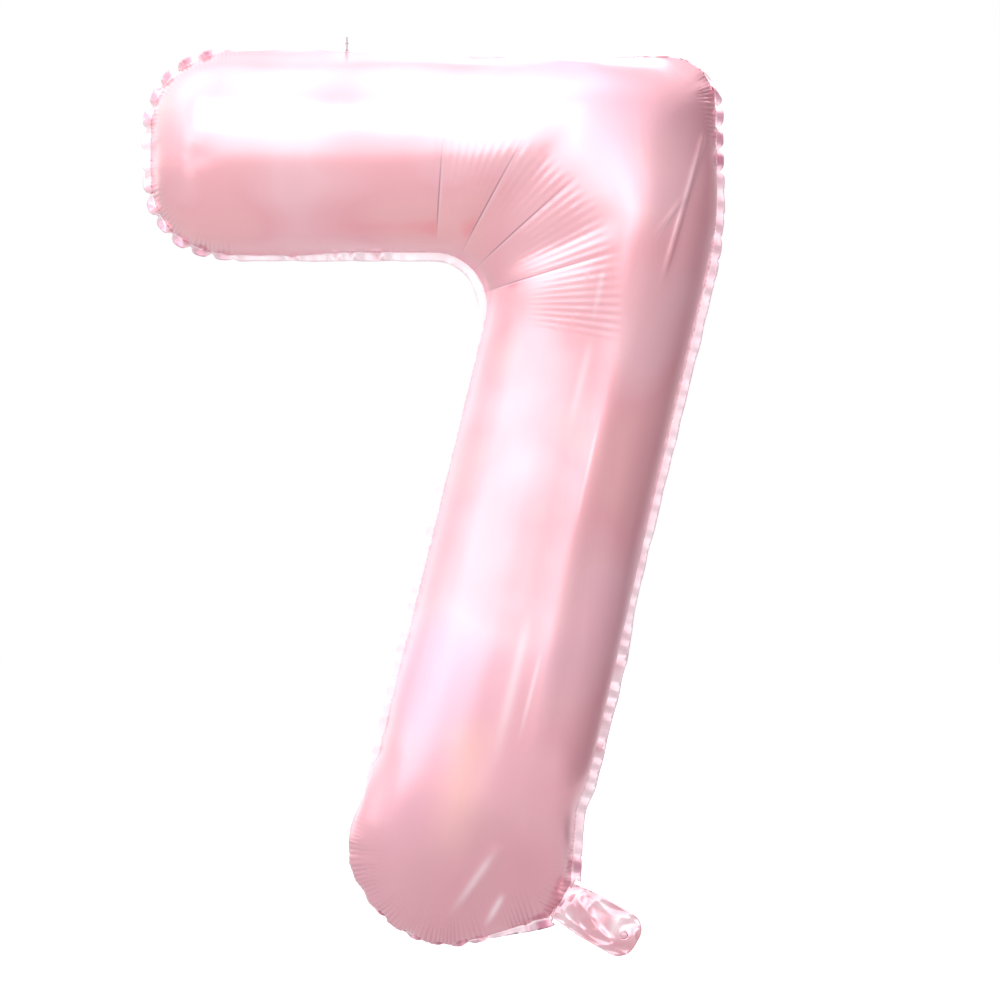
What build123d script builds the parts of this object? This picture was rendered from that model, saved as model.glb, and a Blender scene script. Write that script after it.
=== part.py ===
"""Inflated foil number balloon, digit 7, built as the film pieces it is made of.

Two foil panels are heat-sealed round their edge. A flat valve of two thin plies runs from the
tail, through the neck, into the balloon. The number stands upright with its front towards -Y
and its seam in the plane Y = 0. Its origin is under the middle of the digit, level with the
lowest point, which is on the tail. The films are drawn thicker than they are, so that each one
is a sound solid: the real foil is about 0.04 mm.
"""

import os
from math import cos, pi, radians, sin, sqrt

from build123d import *

# Driving dimensions, in millimetres and degrees. The seam line is where the two panels meet.
BAR_LENGTH = 542.0
BAR_WIDTH = 187.0
BAR_END_RADIUS = 69.0
STEM_WIDTH = 196.0
STEM_LEAN = 13.8
SHOULDER_DROP = 176.0
SHOULDER_RADIUS = 46.0
STEM_BEND_RADIUS = 280.0
INNER_CORNER_RADIUS = 53.0
HIP_DROP = 723.0
HIP_RADIUS = 150.0
NECK_X = 403.0
NECK_DROP = 792.0
NECK_WIDTH = 38.0
NECK_RADIUS = 4.0
BOTTOM_SLOPE = 17.1
BOTTOM_RADIUS = 89.0

TUBE_HALF_DEPTH = 92.0
ELBOW_EXTRA_DEPTH = 16.0
CAP_LENGTH = 88.0
CAP_STATIONS = (2.0, 9.0, 24.0, 50.0)

FILM = 0.6
WELD = 0.6
SEAM_WIDTH = 9.6

TAIL_ANGLE = -30.0
TAIL_LENGTH = 84.0
TAIL_WIDTH = 44.0
TAIL_FULL_WIDTH_AT = 30.0
TAIL_END_RADIUS = 17.0
TAIL_EDGE_WELD = 4.0
TAIL_MOUTH = 24.0
TAIL_HINGE = 6.0
HINGE_GAP = 1.2
INLET_RADIUS = 3.5
INLET_FROM_TIP = 14.0

VALVE_FILM = 0.2
VALVE_WIDTH = 26.0
VALVE_WELD_WIDTH = 3.0
VALVE_INSIDE = 105.0
VALVE_MOUTH = 50.0
COAT_LENGTH = 22.0
COAT_WIDTH = 16.0
COAT_THICKNESS = 0.08

EYELET_RADIUS = 1.5
EYELET_ABOVE_SEAM = 6.0
EYELET_LEFT_X = 188.0
EYELET_RIGHT_X = 350.0

THREAD_RADIUS = 0.7
THREAD_LOOP_HALF_WIDTH = 2.2
THREAD_LOOP_SHOULDER = 4.8
THREAD_BEND = 1.0
KNOT_RADIUS = 1.5
KNOT_ABOVE_EYELET = 7.0
THREAD_END_TIP = 6.0


def heading(degrees):
    """Unit vector in the plane of the digit, turned anticlockwise from its x."""
    return Vector(cos(radians(degrees)), sin(radians(degrees)), 0)


def arc_centre(corner, side_a, side_b, radius):
    """Centre of the arc that rounds a corner between two straight sides."""
    half_angle = radians(side_a.get_angle(side_b)) / 2
    return corner + (side_a + side_b).normalized() * (radius / sin(half_angle))


# Corners of the seam line, from the bar's top left, with x to the right and y up.
down_stem = heading(-90 - STEM_LEAN)
across_stem = heading(-STEM_LEAN)
lean_stretch = 1 / cos(radians(STEM_LEAN))
shoulder = Vector(BAR_LENGTH, -SHOULDER_DROP)
stem_left = shoulder - across_stem * STEM_WIDTH
inner_corner = stem_left + down_stem * ((stem_left.Y + BAR_WIDTH) * lean_stretch)
hip = shoulder + down_stem * ((HIP_DROP - SHOULDER_DROP) * lean_stretch)
neck_top = Vector(NECK_X, -NECK_DROP)
neck_bottom = neck_top + heading(TAIL_ANGLE - 90) * NECK_WIDTH
neck_centre = (neck_top + neck_bottom) / 2
bottom_run = heading(180 + BOTTOM_SLOPE)
neck_to_left = (stem_left - neck_bottom).dot(across_stem)
bottom_left = neck_bottom + bottom_run * (neck_to_left / bottom_run.dot(across_stem))

seam_corners = [
    (Vector(0, 0), BAR_END_RADIUS),
    (Vector(BAR_LENGTH, 0), SHOULDER_RADIUS),
    (shoulder, STEM_BEND_RADIUS),
    (hip, HIP_RADIUS),
    (neck_top, NECK_RADIUS),
    (neck_bottom, NECK_RADIUS),
    (bottom_left, BOTTOM_RADIUS),
    (inner_corner, INNER_CORNER_RADIUS),
    (Vector(0, -BAR_WIDTH), BAR_END_RADIUS),
]

# The seam plane faces the front, and stands so that the tail's lowest point is at Z = 0.
tail_end_centre = (
    neck_centre
    + heading(TAIL_ANGLE) * (TAIL_LENGTH - TAIL_END_RADIUS)
    + heading(TAIL_ANGLE - 90) * (TAIL_WIDTH / 2 - TAIL_END_RADIUS)
)
bar_top_height = TAIL_END_RADIUS - tail_end_centre.Y
seam_plane = Plane((-BAR_LENGTH / 2, 0, bar_top_height), x_dir=(1, 0, 0), z_dir=(0, -1, 0))
tail_place = Location(neck_centre, (0, 0, TAIL_ANGLE))
tail_plane = Plane(seam_plane.location * tail_place)

with BuildSketch(seam_plane) as seam_outline:
    with BuildLine():
        Polyline(*[corner for corner, _ in seam_corners], close=True)
    make_face()
    for corner, corner_radius in seam_corners:
        fillet(seam_outline.vertices().sort_by_distance(corner)[0], corner_radius)

with BuildSketch(seam_plane) as flange_outline:
    add(seam_outline.sketch_local)
    offset(amount=SEAM_WIDTH)
    with Locations(tail_place):
        with Locations((TAIL_HINGE - HINGE_GAP, 0)):
            Rectangle(TAIL_LENGTH, TAIL_WIDTH, align=(Align.MIN, Align.CENTER), mode=Mode.SUBTRACT)
    with Locations((EYELET_LEFT_X, EYELET_ABOVE_SEAM), (EYELET_RIGHT_X, EYELET_ABOVE_SEAM)):
        Circle(EYELET_RADIUS, mode=Mode.SUBTRACT)

# The inflated tube is lofted through stations: up the bar, fanned round the inner corner and
# down the stem. Each is a ray from the digit's inner side that crosses the seam outline once.
FAN_STEPS = 5
STEM_STEPS = 3
RAY_LENGTH = 600.0
fan_centre = arc_centre(inner_corner, heading(180), down_stem, INNER_CORNER_RADIUS)
bottom_centre = arc_centre(bottom_left, -down_stem, -bottom_run, BOTTOM_RADIUS)
stem_length = (bottom_centre - fan_centre).dot(down_stem) + BOTTOM_RADIUS


def cap_depth(distance):
    """Half depth of the tube at a distance from a closed end, on a quarter ellipse."""
    share = min(distance / CAP_LENGTH, 1)
    return TUBE_HALF_DEPTH * sqrt(1 - (1 - share) ** 2)


def tube(inset):
    """The inflated tube, smaller all round by inset."""
    stations = []
    for distance in (*CAP_STATIONS, CAP_LENGTH, (CAP_LENGTH + fan_centre.X) / 2):
        origin = Vector(distance + inset, fan_centre.Y)
        stations.append((origin, heading(90), cap_depth(distance)))
    for step in range(FAN_STEPS + 1):
        share = step / FAN_STEPS
        across = heading(90 - (90 + STEM_LEAN) * share)
        stations.append((fan_centre, across, TUBE_HALF_DEPTH + ELBOW_EXTRA_DEPTH * sin(pi * share)))
    for step in range(1, STEM_STEPS + 1):
        origin = fan_centre + down_stem * ((stem_length - CAP_LENGTH) * step / STEM_STEPS)
        stations.append((origin, across_stem, TUBE_HALF_DEPTH))
    for distance in reversed(CAP_STATIONS):
        origin = fan_centre + down_stem * (stem_length - distance - inset)
        stations.append((origin, across_stem, cap_depth(distance)))

    with BuildPart() as lofted:
        for origin, across, depth in stations:
            ray = Edge.make_line(origin, origin + across * RAY_LENGTH)
            chord = ray.intersect(seam_outline.sketch_local.face())[0]
            section = Plane(chord @ 0.5, x_dir=across, z_dir=across.cross(Vector(0, 0, 1)))
            with BuildSketch(Plane(seam_plane.location * section.location)):
                Ellipse(chord.length / 2 - inset, depth - inset)
        loft()
    return lofted.part


envelope = tube(0)
gas_space = tube(FILM)

with BuildPart() as front_foil_panel:
    with BuildSketch(seam_plane.offset(WELD / 2)):
        add(flange_outline.sketch_local)
    extrude(amount=FILM)
    add(envelope)
    split(bisect_by=seam_plane.offset(WELD / 2), keep=Keep.TOP)
    add(gas_space, mode=Mode.SUBTRACT)
front_foil_panel.part.label = "front_foil_panel"

with BuildPart() as rear_foil_panel:
    mirror(front_foil_panel.part, about=seam_plane)
rear_foil_panel.part.label = "rear_foil_panel"

with BuildPart() as perimeter_seal:
    with BuildSketch(seam_plane.offset(-WELD / 2)):
        add(flange_outline.sketch_local)
        with Locations(tail_place):
            Rectangle(VALVE_WIDTH, VALVE_WIDTH, mode=Mode.SUBTRACT)
    extrude(amount=WELD)
    add(gas_space, mode=Mode.SUBTRACT)
perimeter_seal.part.label = "perimeter_seal"

# The valve lies in the weld's thickness. The fold of the tail parts it into two lengths.
VALVE_GAP = WELD - 2 * VALVE_FILM
FOLD_START = TAIL_HINGE - HINGE_GAP
FOLD_END = TAIL_HINGE + HINGE_GAP


def valve_strip(start, end, level, width=VALVE_WIDTH, across=(0,)):
    """Outline of a strip along the tail's axis, or of a strip at each offset across it."""
    with BuildSketch(tail_plane.offset(level)) as strip:
        with Locations(*[((start + end) / 2, offset_across) for offset_across in across]):
            Rectangle(end - start, width)
    return strip.sketch


edge_offset = (VALVE_WIDTH - VALVE_WELD_WIDTH) / 2
valve_edges = (-edge_offset, edge_offset)

with BuildPart() as valve_front_film:
    extrude(valve_strip(-VALVE_INSIDE, FOLD_START, VALVE_GAP / 2), amount=VALVE_FILM)
valve_front_film.part.label = "valve_front_film"

with BuildPart() as valve_rear_film:
    extrude(valve_strip(-VALVE_INSIDE, FOLD_START, -WELD / 2), amount=VALVE_FILM)
valve_rear_film.part.label = "valve_rear_film"

with BuildPart() as valve_side_welds:
    welds = valve_strip(-VALVE_INSIDE, FOLD_START, -VALVE_GAP / 2, VALVE_WELD_WIDTH, valve_edges)
    extrude(welds, amount=VALVE_GAP)
valve_side_welds.part.label = "valve_side_welds"

with BuildPart() as valve_release_coat:
    coat_level = VALVE_GAP / 2 - COAT_THICKNESS
    extrude(valve_strip(FOLD_START - COAT_LENGTH, FOLD_START, coat_level, COAT_WIDTH), amount=COAT_THICKNESS)
valve_release_coat.part.label = "valve_release_coat"

with BuildPart() as valve_mouth_front:
    extrude(valve_strip(FOLD_END, VALVE_MOUTH, VALVE_GAP / 2), amount=VALVE_FILM)
valve_mouth_front.part.label = "valve_mouth_front"

with BuildPart() as valve_mouth_rear:
    extrude(valve_strip(FOLD_END, VALVE_MOUTH, -WELD / 2), amount=VALVE_FILM)
valve_mouth_rear.part.label = "valve_mouth_rear"

with BuildPart() as valve_mouth_welds:
    welds = valve_strip(FOLD_END, VALVE_MOUTH, -VALVE_GAP / 2, VALVE_WELD_WIDTH, valve_edges)
    extrude(welds, amount=VALVE_GAP)
valve_mouth_welds.part.label = "valve_mouth_welds"

with BuildSketch(tail_plane) as tail_outline:
    with BuildLine():
        Polyline(
            (FOLD_END, -NECK_WIDTH / 2),
            (TAIL_FULL_WIDTH_AT, -TAIL_WIDTH / 2),
            (TAIL_LENGTH, -TAIL_WIDTH / 2),
            (TAIL_LENGTH, TAIL_WIDTH / 2),
            (TAIL_FULL_WIDTH_AT, TAIL_WIDTH / 2),
            (FOLD_END, NECK_WIDTH / 2),
            close=True,
        )
    make_face()
    fillet(tail_outline.vertices().group_by(Axis.X)[-1], TAIL_END_RADIUS)

with BuildPart() as tail_front_film:
    with BuildSketch(tail_plane.offset(WELD / 2)):
        add(tail_outline.sketch_local)
        with Locations((TAIL_LENGTH - INLET_FROM_TIP, 0)):
            Circle(INLET_RADIUS, mode=Mode.SUBTRACT)
    extrude(amount=FILM)
tail_front_film.part.label = "tail_front_film"

with BuildPart() as tail_rear_film:
    with BuildSketch(tail_plane.offset(-WELD / 2 - FILM)):
        add(tail_outline.sketch_local)
    extrude(amount=FILM)
tail_rear_film.part.label = "tail_rear_film"

with BuildPart() as tail_edge_welds:
    with BuildSketch(tail_plane.offset(-WELD / 2)):
        add(tail_outline.sketch_local)
        Rectangle(2 * TAIL_LENGTH, NECK_WIDTH - 2 * TAIL_EDGE_WELD, mode=Mode.SUBTRACT)
        with Locations((TAIL_LENGTH, 0)):
            Rectangle(2 * TAIL_MOUTH, 2 * TAIL_WIDTH, mode=Mode.SUBTRACT)
    extrude(amount=WELD)
tail_edge_welds.part.label = "tail_edge_welds"

# The thread loops through the left eyelet, over the seam's edge, and is knotted to one end.
eyelet_centre = seam_plane.from_local_coords((EYELET_LEFT_X, EYELET_ABOVE_SEAM, 0))
loop_plane = Plane(eyelet_centre, x_dir=(0, 1, 0), z_dir=(1, 0, 0))
knot_centre = eyelet_centre + Vector(0, 0, KNOT_ABOVE_EYELET)

with BuildPart() as hang_thread:
    with BuildLine(loop_plane) as loop_line:
        FilletPolyline(
            (-THREAD_LOOP_HALF_WIDTH, 0),
            (THREAD_LOOP_HALF_WIDTH, 0),
            (THREAD_LOOP_HALF_WIDTH, THREAD_LOOP_SHOULDER),
            (0, KNOT_ABOVE_EYELET),
            (-THREAD_LOOP_HALF_WIDTH, THREAD_LOOP_SHOULDER),
            radius=THREAD_BEND,
            close=True,
        )
    with BuildSketch(Plane(loop_line.line @ 0, z_dir=loop_line.line % 0)):
        Circle(THREAD_RADIUS)
    sweep(path=loop_line.wire())
    with Locations(knot_centre):
        Sphere(KNOT_RADIUS)
    with BuildSketch(Plane(knot_centre)):
        Circle(THREAD_RADIUS)
    extrude(amount=THREAD_END_TIP)
hang_thread.part.label = "hang_thread"

os.makedirs("parts", exist_ok=True)
export_step(front_foil_panel.part, "parts/front_foil_panel.step")
export_step(rear_foil_panel.part, "parts/rear_foil_panel.step")
export_step(perimeter_seal.part, "parts/perimeter_seal.step")
export_step(valve_front_film.part, "parts/valve_front_film.step")
export_step(valve_rear_film.part, "parts/valve_rear_film.step")
export_step(valve_side_welds.part, "parts/valve_side_welds.step")
export_step(valve_release_coat.part, "parts/valve_release_coat.step")
export_step(tail_front_film.part, "parts/tail_front_film.step")
export_step(tail_rear_film.part, "parts/tail_rear_film.step")
export_step(tail_edge_welds.part, "parts/tail_edge_welds.step")
export_step(valve_mouth_front.part, "parts/valve_mouth_front.step")
export_step(valve_mouth_rear.part, "parts/valve_mouth_rear.step")
export_step(valve_mouth_welds.part, "parts/valve_mouth_welds.step")
export_step(hang_thread.part, "parts/hang_thread.step")
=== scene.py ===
"""Looks of the inflated foil number balloon, digit 7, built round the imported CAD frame.

The two foil skins are cut flat, joined at their weld line and inflated with Blender's cloth,
while the weld line is led onto the CAD's seam line. The seal, the tail and its valve mouth are
modelled as thin crumpled sheets. Lengths here are millimetres in the plane of the digit, from
the top left corner of the seam, with x to the right and y up. Depth is towards the front. The
floor, the lights and the camera are in metres, in the frame itself.
"""

from math import acos, atan2, cos, hypot, pi, radians, sin, tan

import bmesh
import bpy
import numpy as np
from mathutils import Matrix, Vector
from mathutils.bvhtree import BVHTree
from mathutils.geometry import delaunay_2d_cdt
from mathutils.kdtree import KDTree


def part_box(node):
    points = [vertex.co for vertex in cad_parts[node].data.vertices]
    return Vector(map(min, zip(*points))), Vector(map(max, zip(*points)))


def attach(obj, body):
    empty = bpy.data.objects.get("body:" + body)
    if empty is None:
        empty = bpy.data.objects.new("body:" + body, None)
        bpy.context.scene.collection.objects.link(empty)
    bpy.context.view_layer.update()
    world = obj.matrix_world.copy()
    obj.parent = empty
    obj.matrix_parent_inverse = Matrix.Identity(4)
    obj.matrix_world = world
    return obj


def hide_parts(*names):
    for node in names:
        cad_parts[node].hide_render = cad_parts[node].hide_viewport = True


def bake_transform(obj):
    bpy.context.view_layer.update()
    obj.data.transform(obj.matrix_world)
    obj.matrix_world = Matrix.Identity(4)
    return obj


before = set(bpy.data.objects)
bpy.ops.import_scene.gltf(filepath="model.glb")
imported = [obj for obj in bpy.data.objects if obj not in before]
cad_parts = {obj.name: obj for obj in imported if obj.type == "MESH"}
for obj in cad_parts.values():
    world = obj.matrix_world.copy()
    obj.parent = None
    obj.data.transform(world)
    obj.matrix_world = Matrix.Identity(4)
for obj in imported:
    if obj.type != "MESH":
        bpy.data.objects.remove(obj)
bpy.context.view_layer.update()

MM = 0.001

# The seam line, where the two skins meet, as in the CAD.
BAR_LENGTH = 542.0
BAR_WIDTH = 187.0
BAR_END_RADIUS = 69.0
STEM_WIDTH = 196.0
STEM_LEAN = 13.8
SHOULDER_DROP = 176.0
SHOULDER_RADIUS = 46.0
STEM_BEND_RADIUS = 280.0
INNER_CORNER_RADIUS = 53.0
HIP_DROP = 723.0
HIP_RADIUS = 150.0
NECK_X = 403.0
NECK_DROP = 792.0
NECK_WIDTH = 38.0
NECK_RADIUS = 4.0
BOTTOM_SLOPE = 17.1
BOTTOM_RADIUS = 89.0
SEAM_WIDTH = 9.6

# The tail, the valve mouth inside it and the eyelets in the seal, as in the CAD.
TAIL_ANGLE = -30.0
TAIL_LENGTH = 84.0
TAIL_WIDTH = 44.0
TAIL_FULL_WIDTH_AT = 30.0
TAIL_END_RADIUS = 17.0
TAIL_EDGE_WELD = 4.0
TAIL_HINGE = 6.0
INLET_RADIUS = 3.5
INLET_FROM_TIP = 14.0
VALVE_WIDTH = 26.0
VALVE_WELD_WIDTH = 3.0
VALVE_START = 7.2
VALVE_MOUTH = 50.0
EYELET_RADIUS = 1.5
EYELET_ABOVE_SEAM = 6.0
EYELETS_X = (188.0, 350.0)

# The flat film, before it is filled: half of a tube's girth is pi / 2 times its width.
ROUND_GROWTH = (pi / 2 - 1) / 2
BAR_GROWTH = BAR_WIDTH * ROUND_GROWTH
STEM_GROWTH = STEM_WIDTH * ROUND_GROWTH
CAP_GROWTH = 28.0
BAR_SHIFT = 50.0
STEM_SHIFT = 50.0
ELBOW_OPENING = 20.0
ELBOW_PIVOT = (300.0, -200.0)
FLAT_RIGHT_X = 590.0
FLAT_HIP = 595.0
FLAT_NECK_SHIFT = 34.0
FLAT_RADII = (120, 110, 320, 60, 4, 4, 135, 25, 120)

# Where the flat weld line is tied to the seam line, besides its corners: x along the bar's top and
# underside, and lengths down the stem's two sides.
GUIDE_TOP_X = (BAR_END_RADIUS, 415)
GUIDE_UNDERSIDE_X = (225, BAR_END_RADIUS)
GUIDE_RIGHT_RUNS = (60, 555)
GUIDE_LEFT_RUNS = (535, 95)

SEAM_STEP = 1.0
ARC_STEP = 2.0
CELL = 9.0
FRAMES = 30
GUIDE_FRAMES = 12
SEED = 7

seal_low, seal_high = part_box("perimeter_seal")
ORIGIN_X = seal_low.x + SEAM_WIDTH * MM
ORIGIN_Z = seal_high.z - SEAM_WIDTH * MM


def place(x, y, depth):
    """Points in the frame, in metres, from places on the digit and depths in millimetres."""
    across, up, front = np.broadcast_arrays(x, y, depth)
    return np.stack([ORIGIN_X + across * MM, -front * MM, ORIGIN_Z + up * MM], -1)


def unplace(points):
    """Places on the digit and depths, in millimetres, of points in the frame."""
    return (points[:, 0] - ORIGIN_X) / MM, (points[:, 2] - ORIGIN_Z) / MM, -points[:, 1] / MM


# ---------------------------------------------------------------- outlines


def heading(angle):
    """Unit vector in the plane of the digit, turned anticlockwise from x."""
    return np.array([cos(radians(angle)), sin(radians(angle))])


def meet(point, direction, other_point, other_direction):
    """Where two lines cross."""
    sides = np.stack([direction, -other_direction], 1)
    return point + direction * np.linalg.solve(sides, other_point - point)[0]


def corner_sides(corners, index):
    """Unit vectors from a corner along its two sides, and half of the angle between them."""
    corner = corners[index]
    before = corners[index - 1] - corner
    after = corners[(index + 1) % len(corners)] - corner
    before = before / np.linalg.norm(before)
    after = after / np.linalg.norm(after)
    return before, after, acos(np.clip(before @ after, -1, 1)) / 2


def arc_centre(corners, radii, index):
    """Centre of the arc that rounds a corner."""
    before, after, half = corner_sides(corners, index)
    bisector = (before + after) / np.linalg.norm(before + after)
    return corners[index] + bisector * radii[index] / sin(half)


def arc_middle(corners, radii, index):
    """Middle point of the arc that rounds a corner."""
    centre = arc_centre(corners, radii, index)
    outward = corners[index] - centre
    return centre + outward * radii[index] / np.linalg.norm(outward)


def closed_lengths(path):
    """Length along a closed path at each of its points, and at its start again."""
    steps = np.linalg.norm(np.diff(np.vstack([path, path[:1]]), axis=0), axis=1)
    return np.concatenate([[0], np.cumsum(steps)])


def along(path, lengths, places):
    """Points on a closed path at given lengths along it."""
    closed = np.vstack([path, path[:1]])
    places = places % lengths[-1]
    return np.stack([np.interp(places, lengths, closed[:, axis]) for axis in (0, 1)], 1)


def resample(path, step):
    """The closed path with its points one step apart."""
    lengths = closed_lengths(path)
    count = int(round(lengths[-1] / step))
    return along(path, lengths, np.arange(count) * lengths[-1] / count)


def rounded(corners, radii, step):
    """A polygon with rounded corners, as points one step apart."""
    path = []
    for index, radius in enumerate(radii):
        before, after, half = corner_sides(corners, index)
        centre = arc_centre(corners, radii, index)
        start = corners[index] + before * radius / tan(half) - centre
        end = corners[index] + after * radius / tan(half) - centre
        first = atan2(start[1], start[0])
        sweep = (atan2(end[1], end[0]) - first + pi) % (2 * pi) - pi
        count = max(2, int(abs(sweep) * radius / ARC_STEP))
        for angle in first + sweep * np.arange(count + 1) / count:
            path.append(centre + radius * np.array([cos(angle), sin(angle)]))
    return resample(np.array(path), step)


def outward_normals(path):
    """Unit normals of a clockwise closed path, pointing out of it."""
    run = np.roll(path, -1, 0) - np.roll(path, 1, 0)
    run /= np.linalg.norm(run, axis=1)[:, None]
    return np.stack([-run[:, 1], run[:, 0]], 1)


def inside(path, points):
    """Whether each point is inside the closed path."""
    x, y = points[:, 0], points[:, 1]
    result = np.zeros(len(points), bool)
    for (x1, y1), (x2, y2) in zip(path, np.roll(path, -1, 0)):
        if y1 != y2:
            result ^= ((y1 > y) != (y2 > y)) & (x < (x2 - x1) * (y - y1) / (y2 - y1) + x1)
    return result


def polar(x, y, centre):
    """Distance and angle, in degrees, of places from a centre."""
    offset_x, offset_y = x - centre[0], y - centre[1]
    return np.hypot(offset_x, offset_y), np.degrees(np.arctan2(offset_y, offset_x))


def measured(x, y, start, run, side):
    """Lengths of places from a start, along a direction and along the one beside it."""
    offset_x, offset_y = x - start[0], y - start[1]
    return offset_x * run[0] + offset_y * run[1], offset_x * side[0] + offset_y * side[1]


def nearest(path, points):
    """Distance from each point to the closest point of the path, and that point's index."""
    tree = KDTree(len(path))
    for index, point in enumerate(path):
        tree.insert((*point, 0, 0)[:3], index)
    tree.balance()
    found = [tree.find((*point, 0, 0)[:3]) for point in points]
    return np.array([hit[2] for hit in found]), np.array([hit[1] for hit in found])


def step(value, start, end):
    """A soft step of a value, from 0 at start to 1 at end, which may be the smaller of the two."""
    share = np.clip((value - start) / (end - start), 0, 1)
    return share * share * (3 - 2 * share)


def band(value, start, whole, fading, end):
    """A soft mask of a value: 0 at start, 1 from whole to fading, and 0 again at end."""
    return step(value, start, whole) * step(value, end, fading)


def hump(value, width):
    """A bell-shaped bump of a value, 1 at zero and fading over the width to both sides."""
    return np.exp(-((value / width) ** 2))


# ---------------------------------------------------------------- the digit, filled and flat

y_axis = heading(90)
down_stem = heading(-90 - STEM_LEAN)
across_stem = heading(-STEM_LEAN)
lean_stretch = 1 / cos(radians(STEM_LEAN))
bottom_run = heading(180 + BOTTOM_SLOPE)
tail_run = heading(TAIL_ANGLE)
tail_side = heading(TAIL_ANGLE + 90)


def seam_corner_points():
    """Corners of the seam line, clockwise from the bar's top left."""
    shoulder = np.array([BAR_LENGTH, -SHOULDER_DROP])
    stem_left = shoulder - across_stem * STEM_WIDTH
    inner = stem_left + down_stem * (stem_left[1] + BAR_WIDTH) * lean_stretch
    hip = shoulder + down_stem * (HIP_DROP - SHOULDER_DROP) * lean_stretch
    neck_top = np.array([NECK_X, -NECK_DROP])
    neck_bottom = neck_top + heading(TAIL_ANGLE - 90) * NECK_WIDTH
    bottom_left = meet(neck_bottom, bottom_run, stem_left, down_stem)
    bar_corner = np.array([0, -BAR_WIDTH])
    top_right = np.array([BAR_LENGTH, 0])
    top_left = np.zeros(2)
    return [top_left, top_right, shoulder, hip, neck_top, neck_bottom, bottom_left, inner, bar_corner]


seam_corners = seam_corner_points()
seam_radii = (
    BAR_END_RADIUS,
    SHOULDER_RADIUS,
    STEM_BEND_RADIUS,
    HIP_RADIUS,
    NECK_RADIUS,
    NECK_RADIUS,
    BOTTOM_RADIUS,
    INNER_CORNER_RADIUS,
    BAR_END_RADIUS,
)
seam_shoulder = seam_corners[2]
neck_centre = (seam_corners[4] + seam_corners[5]) / 2
fan_centre = arc_centre(seam_corners, seam_radii, 7)
seam = rounded(seam_corners, seam_radii, SEAM_STEP)
seam_lengths = closed_lengths(seam)
flat_right = seam_shoulder + across_stem * STEM_GROWTH
flat_left = seam_shoulder - across_stem * (STEM_WIDTH + STEM_GROWTH)
flat_bar_run = heading(-ELBOW_OPENING)


def flat_bar(x, y):
    """A point of the filled bar on the flat film, where the bar is opened out at the elbow."""
    turn = np.stack([flat_bar_run, heading(90 - ELBOW_OPENING)])
    pivot = np.array(ELBOW_PIVOT)
    return pivot + turn.T @ (np.array([x - BAR_SHIFT, y]) - pivot)


def flat_corner_points():
    """Corners of the flat film's weld line, in the order of the seam's corners."""
    run = flat_bar(1, 0) - flat_bar(0, 0)
    top_left = flat_bar(-CAP_GROWTH, BAR_GROWTH)
    bar_corner = flat_bar(-CAP_GROWTH, -BAR_WIDTH - BAR_GROWTH)
    top_right = meet(top_left, run, np.array([FLAT_RIGHT_X, 0]), y_axis)
    shoulder = meet(top_right, y_axis, flat_right, down_stem)
    hip = flat_right + down_stem * FLAT_HIP
    neck = neck_centre + tail_run * FLAT_NECK_SHIFT + down_stem * STEM_SHIFT
    neck_top = neck + tail_side * NECK_WIDTH / 2
    neck_bottom = neck - tail_side * NECK_WIDTH / 2
    bottom_left = meet(neck_bottom, bottom_run, flat_left, down_stem)
    inner = meet(bar_corner, run, flat_left, down_stem)
    return [top_left, top_right, shoulder, hip, neck_top, neck_bottom, bottom_left, inner, bar_corner]


flat_corners = flat_corner_points()


def seam_guide(flat_weld):
    """Where each point of the flat weld line comes to lie on the filled digit's seam line."""

    def stem_pair(side, flat_side, run):
        point = seam_shoulder + across_stem * side + down_stem * run
        flat_point = seam_shoulder + across_stem * flat_side + down_stem * (run + STEM_SHIFT)
        return flat_point, point

    def corner_pair(index):
        return (
            arc_middle(flat_corners, FLAT_RADII, index),
            arc_middle(seam_corners, seam_radii, index),
        )

    pairs = [(flat_bar(x, BAR_GROWTH), (x, 0)) for x in GUIDE_TOP_X]
    pairs += [(flat_bar(x, -BAR_WIDTH - BAR_GROWTH), (x, -BAR_WIDTH)) for x in GUIDE_UNDERSIDE_X]
    pairs += [(flat_bar(-CAP_GROWTH, -BAR_WIDTH / 2), (0, -BAR_WIDTH / 2))]
    pairs += [stem_pair(0, STEM_GROWTH, run) for run in GUIDE_RIGHT_RUNS]
    pairs += [stem_pair(-STEM_WIDTH, -STEM_WIDTH - STEM_GROWTH, run) for run in GUIDE_LEFT_RUNS]
    pairs += [corner_pair(index) for index in (1, 6, 7)]
    pairs += [(flat_corners[index], seam_corners[index]) for index in (4, 5)]

    lengths = closed_lengths(flat_weld)
    flat_places = lengths[nearest(flat_weld, [flat for flat, _ in pairs])[1]]
    places = seam_lengths[nearest(seam, [point for _, point in pairs])[1]]
    order = np.argsort(flat_places)
    flat_places, places = flat_places[order], places[order]
    girth, flat_girth = seam_lengths[-1], lengths[-1]
    places = places - girth * (places[0] > girth / 2)
    places = places + girth * np.cumsum(np.concatenate([[0], np.diff(places) < 0]))
    flat_places = np.concatenate([flat_places[-1:] - flat_girth, flat_places, flat_places[:1] + flat_girth])
    places = np.concatenate([places[-1:] - girth, places, places[:1] + girth])
    return along(seam, seam_lengths, np.interp(lengths[:-1], flat_places, places))


# ---------------------------------------------------------------- sheets of film


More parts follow.
